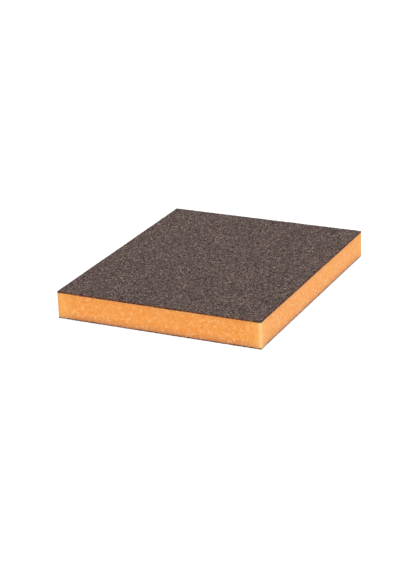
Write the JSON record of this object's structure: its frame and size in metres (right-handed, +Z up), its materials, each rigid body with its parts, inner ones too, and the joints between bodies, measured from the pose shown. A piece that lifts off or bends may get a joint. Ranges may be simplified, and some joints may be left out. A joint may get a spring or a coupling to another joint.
{
  "type": "sanding block",
  "caption": "Flat flexible foam sanding pad for hand use, a square-edged slab coated with abrasive grit on both broad faces.",
  "frame": {"origin": "middle of the underside, on the surface that the pad lies on", "axes": "+X across the pad (the 98 mm side), +Y along the pad (the 120 mm side), +Z up through its thickness"},
  "size_m": [0.098, 0.12, 0.013],
  "materials": {
    "foam": "open-celled orange polyurethane foam, matt",
    "make_coat": "dark brown cured resin film",
    "grain": "brown-grey crushed mineral grain, rough with small bright facets",
    "size_coat": "brown-grey cured resin, satin, draped over the grain"
  },
  "bodies": {
    "root": {"foam_core": "foam", "upper_make_coat": "make_coat", "upper_grain_layer": "grain", "upper_size_coat": "size_coat", "lower_make_coat": "make_coat", "lower_grain_layer": "grain", "lower_size_coat": "size_coat"}
  },
  "joints": []
}
